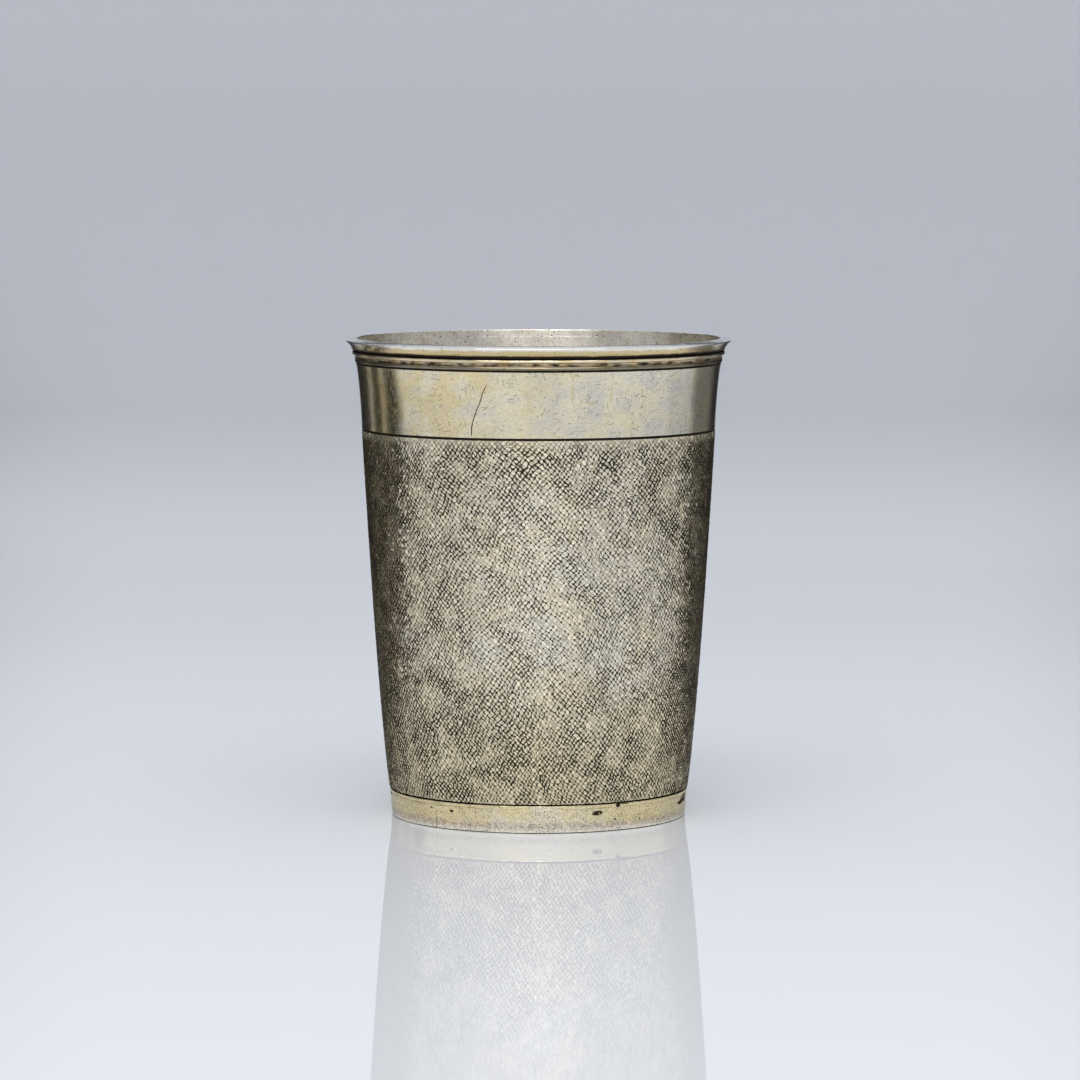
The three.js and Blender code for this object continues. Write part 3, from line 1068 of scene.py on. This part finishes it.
def waves(angle, height, rng, count, finest=15):
    """A smooth random field on the wall, about -1 to 1, with no break round the back."""
    total = np.zeros_like(angle)
    for _ in range(count):
        turns = rng.integers(1, finest)
        climbs = rng.uniform(-finest / 3, finest / 3)
        phase = rng.uniform(0, 2 * np.pi)
        rise = (height - FIELD_FOOT) / (FIELD_TOP - FIELD_FOOT)
        total += np.sin(turns * angle + climbs * 2 * np.pi * rise + phase)
    return total / np.sqrt(count)


def read_places(owners, field):
    places = np.empty(len(owners) * 3)
    owners.foreach_get(field, places)
    return places.reshape(-1, 3)


def read_vertices(mesh):
    """Angle to the right of the front, radius and height of every vertex."""
    x, y, height = read_places(mesh.vertices, "co").T / MM
    return np.arctan2(x, -y), np.hypot(x, y), height


def write_vertices(mesh, angle, radius, height):
    places = np.stack((radius * np.sin(angle), -radius * np.cos(angle), height), axis=1)
    mesh.vertices.foreach_set("co", (places * MM).ravel())
    mesh.update()


def field_radius(height):
    curve = np.array(field_curve(steps=80))
    return np.interp(height, curve[:, 1], curve[:, 0])


def corner_lists(mesh, faces):
    """Vertex numbers of faces that all have the same count of corners."""
    starts = np.empty(len(mesh.polygons), int)
    mesh.polygons.foreach_get("loop_start", starts)
    corners = np.empty(len(mesh.loops), int)
    mesh.loops.foreach_get("vertex_index", corners)
    count = mesh.polygons[int(faces[0])].loop_total
    return corners[starts[faces][:, None] + np.arange(count)]


def face_sides(mesh):
    sides = np.empty(len(mesh.polygons), int)
    mesh.polygons.foreach_get("loop_total", sides)
    return sides


def select_faces(mesh, mask):
    mesh.vertices.foreach_set("select", np.zeros(len(mesh.vertices), bool))
    mesh.edges.foreach_set("select", np.zeros(len(mesh.edges), bool))
    mesh.polygons.foreach_set("select", mask)


def in_net(height, margin):
    """True for points that are further than a margin from the net's two edges."""
    return (height > NET_LOW + margin) & (height < NET_HIGH - margin)


def wrap_net():
    """A grid of squares, wrapped on the wall and closed."""
    bpy.ops.object.select_all(action="DESELECT")
    bpy.ops.mesh.primitive_grid_add(x_subdivisions=CELL_COLUMNS, y_subdivisions=CELL_ROWS, size=1)
    skin = bpy.context.object
    skin.name = "snakeskin"
    mesh = skin.data
    across, up, _ = read_places(mesh.vertices, "co").T
    height = NET_LOW + (up + 0.5) * (NET_HIGH - NET_LOW)
    write_vertices(mesh, across * 2 * np.pi, field_radius(height), height)
    bpy.ops.object.mode_set(mode="EDIT")
    bpy.ops.mesh.select_all(action="SELECT")
    bpy.ops.mesh.remove_doubles(threshold=NET_MERGE_DISTANCE * MM)
    bpy.ops.mesh.normals_make_consistent(inside=False)
    bpy.ops.object.mode_set(mode="OBJECT")
    return skin


def leave_diamonds(mesh):
    """Pokes every square, then drops the old edges, so that staggered diamonds are left."""
    knots = len(mesh.vertices)
    bpy.ops.object.mode_set(mode="EDIT")
    bpy.ops.mesh.select_all(action="SELECT")
    bpy.ops.mesh.poke()
    bpy.ops.mesh.select_all(action="DESELECT")
    bpy.ops.mesh.select_mode(type="EDGE")
    bpy.ops.object.mode_set(mode="OBJECT")
    ends = np.empty(len(mesh.edges) * 2, int)
    mesh.edges.foreach_get("vertices", ends)
    ends = ends.reshape(-1, 2)
    _, _, height = read_vertices(mesh)
    old = (ends < knots).all(axis=1) & in_net(height, EDGE_MARGIN)[ends].any(axis=1)
    mesh.edges.foreach_set("select", old)
    bpy.ops.object.mode_set(mode="EDIT")
    bpy.ops.mesh.dissolve_edges(use_verts=False)
    bpy.ops.object.mode_set(mode="OBJECT")


def stray(angle, height, rng, broad):
    """How far hand work strays: a broad sway, a finer one, and a jog at each knot."""
    sway = broad * waves(angle, height, rng, count=7)
    sway += FINE_SWAY * waves(angle, height, rng, count=14, finest=45)
    return sway + CELL_JITTER * np.clip(rng.normal(0, 1, len(angle)), -1.8, 1.8)


def jog_knots(mesh, rng):
    """Leans the rows, sways them and jogs each knot; tells which knots aren't on an edge."""
    angle, radius, height = read_vertices(mesh)
    inner = in_net(height, EDGE_MARGIN)
    sway = stray(angle, height, rng, NET_SWAY)
    drift = stray(angle, height, rng, NET_DRIFT)
    ease = np.clip(np.minimum(height - NET_LOW, NET_HIGH - height) / EDGE_EASE, 0, 1)
    angle = angle + (CELL_LEAN * (height - (NET_LOW + NET_HIGH) / 2) + sway) / radius
    height = height + np.where(inner, drift * ease, 0)
    write_vertices(mesh, angle, field_radius(height) - CELL_SINK, height)
    return inner


def cut_corners(mesh, inner):
    """Cuts each knot off, so that it is a pit and each cell has eight sides; lists the pits."""
    bpy.ops.object.mode_set(mode="EDIT")
    bpy.ops.mesh.select_mode(type="VERT")
    bpy.ops.mesh.select_all(action="DESELECT")
    bpy.ops.object.mode_set(mode="OBJECT")
    mesh.vertices.foreach_set("select", inner)
    bpy.ops.object.mode_set(mode="EDIT")
    bpy.ops.mesh.bevel(offset=CELL_CORNER * MM, segments=1, affect="VERTICES", clamp_overlap=False)
    bpy.ops.mesh.select_mode(type="FACE")
    bpy.ops.object.mode_set(mode="OBJECT")
    _, _, height = read_vertices(mesh)
    on_edge = ~in_net(height, EDGE_MARGIN / 2)
    quads = np.flatnonzero(face_sides(mesh) == 4)
    return quads[~on_edge[corner_lists(mesh, quads)].any(axis=1)]


def soil_gaps(mesh, pit_faces, rng):
    """Dirt at every corner so far and, after them, in the middles of the pits."""
    angle, _, height = read_vertices(mesh)
    pits = corner_lists(mesh, pit_faces)
    pit_dirt = np.exp(rng.normal(-0.72, 0.6, len(pits)))
    pit_dirt += 0.12 * waves(angle, height, rng, count=14, finest=50)[pits[:, 0]]
    pit_dirt = np.clip(pit_dirt, 0.1, 1.6)
    gap_dirt = np.full(len(angle), 0.7)
    gap_dirt[pits] = 0.2 + 0.24 * pit_dirt[:, None] + rng.normal(0, 0.1, pits.shape)
    return np.concatenate((gap_dirt, 1.5 * pit_dirt))


def raise_cells(mesh, pit_faces):
    """Deepens the pits, raises the cells and domes them; counts the vertices below the domes."""
    is_pit = np.zeros(len(mesh.polygons), bool)
    is_pit[pit_faces] = True
    select_faces(mesh, is_pit)
    bpy.ops.object.mode_set(mode="EDIT")
    bpy.ops.mesh.poke(offset=-PIT_DEPTH * MM)
    bpy.ops.object.mode_set(mode="OBJECT")
    select_faces(mesh, face_sides(mesh) > 3)
    bpy.ops.object.mode_set(mode="EDIT")
    bpy.ops.mesh.inset(
        thickness=CELL_GAP * MM,
        depth=CELL_RISE * MM,
        use_individual=True,
        use_even_offset=False,
    )
    bpy.ops.object.mode_set(mode="OBJECT")
    before_domes = len(mesh.vertices)
    bpy.ops.object.mode_set(mode="EDIT")
    bpy.ops.mesh.poke(offset=CELL_DOME * MM)
    bpy.ops.object.mode_set(mode="OBJECT")
    return before_domes


def tone_cells(mesh, gap_dirt, before_domes, rng):
    """Leans each cell its own way, and stores its tone, and the dirt and painted shade around it."""
    chosen = np.empty(len(mesh.polygons), bool)
    mesh.polygons.foreach_get("select", chosen)
    tops = corner_lists(mesh, np.flatnonzero(chosen))
    is_crown = tops >= before_domes
    crown = tops[is_crown]
    ring = tops[~is_crown].reshape(-1, 2)
    angle, radius, height = read_vertices(mesh)
    count = len(angle)
    cell = np.full(count, -1)
    cell[crown] = crown
    cell[ring] = crown[:, None]
    on_top = cell >= 0
    owner = np.where(on_top, cell, 0)
    tilt_across = rng.normal(0, CELL_TILT, count)[owner]
    tilt_up = rng.normal(0, CELL_TILT, count)[owner]
    lift = rng.normal(0, CELL_LIFT, count)[owner]
    across = np.sin(angle - angle[owner]) * radius
    up = height - height[owner]
    radius = radius + np.where(on_top, lift + tilt_across * across + tilt_up * up, 0)
    write_vertices(mesh, angle, radius, height)
    dirt = np.ones(count)
    dirt[:len(gap_dirt)] = gap_dirt
    # Dirt and painted shade on the ring round each cell's top, darker than its crown, so the cell looks
    # domed
    ring_dirt_and_shade = np.clip(rng.normal(0.26, 0.1, count), 0.05, 0.5)
    top_dirt_and_shade = np.where(np.arange(count) >= before_domes, 0.0, ring_dirt_and_shade)
    dirt = np.where(on_top, top_dirt_and_shade, dirt)
    tone = np.clip(rng.normal(0.95, 0.11, count), 0.62, 1.15)[owner]
    tone = np.where(on_top, tone, 0.9)
    mesh.attributes.new("dirt", "FLOAT", "POINT").data.foreach_set("value", dirt)
    mesh.attributes.new("cell_tone", "FLOAT", "POINT").data.foreach_set("value", tone)


def model_snakeskin():
    """The snakeskin: a net of diamonds wrapped on the wall, with each cell raised and rounded."""
    rng = np.random.default_rng(HAND_SEED)
    skin = wrap_net()
    mesh = skin.data
    leave_diamonds(mesh)
    inner = jog_knots(mesh, rng)
    pit_faces = cut_corners(mesh, inner)
    gap_dirt = soil_gaps(mesh, pit_faces, rng)
    before_domes = raise_cells(mesh, pit_faces)
    tone_cells(mesh, gap_dirt, before_domes, rng)
    bpy.ops.object.shade_smooth_by_angle(angle=CELL_SHARP_ANGLE)
    return skin


def split_snakeskin(skin):
    """Splits the skin into sectors along its gaps."""
    mesh = skin.data
    x, y, _ = read_places(mesh.polygons, "center").T
    sector_width = 2 * np.pi / FIELD_SECTORS
    sector = np.floor((np.arctan2(x, -y) + np.pi) / sector_width).astype(int) % FIELD_SECTORS
    mesh.attributes.new("sector", "INT", "FACE").data.foreach_set("value", sector)
    pieces = [skin]
    for number in range(1, FIELD_SECTORS):
        sector = np.empty(len(mesh.polygons), int)
        mesh.attributes["sector"].data.foreach_get("value", sector)
        select_faces(mesh, sector == number)
        before = set(bpy.data.objects)
        bpy.ops.object.select_all(action="DESELECT")
        skin.select_set(True)
        bpy.context.view_layer.objects.active = skin
        bpy.ops.object.mode_set(mode="EDIT")
        bpy.ops.mesh.separate(type="SELECTED")
        bpy.ops.object.mode_set(mode="OBJECT")
        pieces += [made for made in bpy.data.objects if made not in before]
    return pieces


def unroll_map(piece, middle):
    """A map for the sector as if it were unrolled flat."""
    angle, _, height = read_vertices(piece.data)
    turned = (angle - middle + np.pi) % (2 * np.pi) - np.pi
    across = (turned - turned.min()) / np.ptp(turned)
    up = (height - height.min()) / np.ptp(height)
    corners = np.empty(len(piece.data.loops), int)
    piece.data.loops.foreach_get("vertex_index", corners)
    places = np.stack((across[corners], up[corners]), axis=1)
    layer = piece.data.uv_layers.new(name="OFBake")
    layer.data.foreach_set("uv", (MAP_MARGIN + (1 - 2 * MAP_MARGIN) * places).ravel())


def dress_snakeskin():
    chased_silver = make_chased_silver()
    pieces = split_snakeskin(model_snakeskin())
    for number, piece in enumerate(pieces):
        piece.name = f"snakeskin_{number + 1}"
        middle = -np.pi + (number + 0.5) * 2 * np.pi / FIELD_SECTORS
        unroll_map(piece, middle)
        finish_piece(piece, "wall", "chased_silver", chased_silver)


def make_room_paint():
    """Pale floor that greys with distance; past the table's edge the metal sees darker ground."""
    material = bpy.data.materials.new("room_paint")
    material.use_nodes = True
    tree = material.node_tree
    shader = tree.nodes["Principled BSDF"]
    place = add_node(tree, "ShaderNodeTexCoord").outputs["Object"]
    parts = add_node(tree, "ShaderNodeSeparateXYZ", {0: place})
    depth = parts.outputs["Y"]
    height = parts.outputs["Z"]
    reach = add_node(tree, "ShaderNodeVectorMath", {0: place}, operation="LENGTH").outputs["Value"]
    colour = tint(tree, ramp(tree, reach, 0.1, 1.6), FLOOR_COLOUR, BACKDROP_COLOUR)

    # The ground, by its bearing from straight behind
    bearing = maths(tree, "ARCTAN2", parts.outputs["X"], depth)
    bearing = maths(tree, "MULTIPLY", bearing, math.degrees(1))
    away = maths(tree, "ABSOLUTE", bearing)
    right = maths(tree, "GREATER_THAN", bearing, 0.0)
    ground = tint(tree, right, LEFT_GROUND, RIGHT_GROUND)
    for streak in REFLECTED_STREAKS:
        off = maths(tree, "ABSOLUTE", maths(tree, "SUBTRACT", bearing, streak))
        ground = tint(tree, ramp(tree, off, *STREAK_HALF), ground, STREAK_COLOUR)
    behind = ramp(tree, away, *BACK_HALF)
    ground = tint(tree, behind, ground, BACK_GROUND)

    # How far the ground reaches, and the dusk above it
    limit = maths(tree, "SUBTRACT", GROUND_LIMIT, maths(tree, "MULTIPLY", right, RIGHT_SHORTFALL))
    dark = ramp(tree, maths(tree, "SUBTRACT", away, limit), LIMIT_BLUR, -LIMIT_BLUR)
    dark = maths(tree, "MULTIPLY", dark, ramp(tree, away, *BACK_GAP))
    near = ramp(tree, depth, TABLE_EDGE - EDGE_BLUR, TABLE_EDGE + EDGE_BLUR)
    far = ramp(tree, depth, TABLE_EDGE, FAR_GROUND)
    dark = maths(tree, "MULTIPLY", dark, ramp(tree, behind, 0.0, 1.0, near, far))
    glossy = add_node(tree, "ShaderNodeLightPath").outputs["Is Glossy Ray"]
    colour = tint(tree, maths(tree, "MULTIPLY", dark, glossy), colour, ground)
    dusk = ramp(tree, height, *DUSK_FOOT)
    dusk = maths(tree, "MULTIPLY", dusk, ramp(tree, height, *DUSK_TOP))
    dusk = maths(tree, "MULTIPLY", dusk, maths(tree, "GREATER_THAN", depth, 0.0))
    colour = tint(tree, maths(tree, "MULTIPLY", dusk, glossy), colour, DUSK_COLOUR)
    tree.links.new(colour, shader.inputs["Base Color"])
    tree.links.new(ramp(tree, reach, 0.2, 1.0, 0.02, 0.26), shader.inputs["Roughness"])
    shader.inputs["Specular IOR Level"].default_value = 0.25
    return material


def set_room():
    """A floor that sweeps up into a wall all round, so that no edge shows in any view."""
    corner = (ROOM_RADIUS, 0)
    outer = ROOM_RADIUS + ROOM_THICKNESS
    outline = [
        (0, 0),
        *[(ring, 0) for ring in FLOOR_RINGS],
        *bend((SWEEP_START, 0), corner, (ROOM_RADIUS, SWEEP_TOP), SWEEP_STEPS),
        (ROOM_RADIUS, ROOM_HEIGHT),
        (outer, ROOM_HEIGHT),
        (outer, -ROOM_THICKNESS),
        (0, -ROOM_THICKNESS),
    ]
    room = turn("pale_room", clean(outline))
    bpy.ops.object.shade_smooth_by_angle(angle=SHARP_ANGLE)
    room.data.materials.append(make_room_paint())


def set_lamp(name, place, target, width, depth, power):
    """A soft box that faces a target."""
    bpy.ops.object.light_add(type="AREA", location=place)
    lamp = bpy.context.object
    lamp.name = name
    lamp.data.shape = "RECTANGLE"
    lamp.data.size = width
    lamp.data.size_y = depth
    lamp.data.energy = power
    lamp.visible_camera = False
    aim = np.array(target) - np.array(place)
    flat = math.hypot(aim[0], aim[1])
    lamp.rotation_euler = (math.atan2(flat, -aim[2]), 0, math.atan2(-aim[0], aim[1]))


def set_studio():
    set_room()
    world = bpy.data.worlds.new("soft_room")
    bpy.context.scene.world = world
    world.use_nodes = True
    room = world.node_tree.nodes["Background"]
    room.inputs["Color"].default_value = WORLD_COLOUR
    room.inputs["Strength"].default_value = WORLD_STRENGTH
    for lamp in LAMPS:
        set_lamp(*lamp)


def set_camera():
    bpy.ops.object.camera_add(
        location=(CAMERA_SIDE * MM, -CAMERA_DISTANCE * MM, CAMERA_HEIGHT * MM),
        rotation=(math.pi / 2 - CAMERA_TILT, 0, 0),
    )
    camera = bpy.context.object
    camera.data.sensor_width = SENSOR
    camera.data.lens = CAMERA_LENS
    camera.data.clip_start = 0.01
    bpy.context.scene.camera = camera


model_wall()
model_rim_wire()
model_reeded_wire()
model_foot_band()
model_base_plate()
dress_snakeskin()
set_studio()
set_camera()
bpy.context.scene.view_settings.view_transform = "Standard"
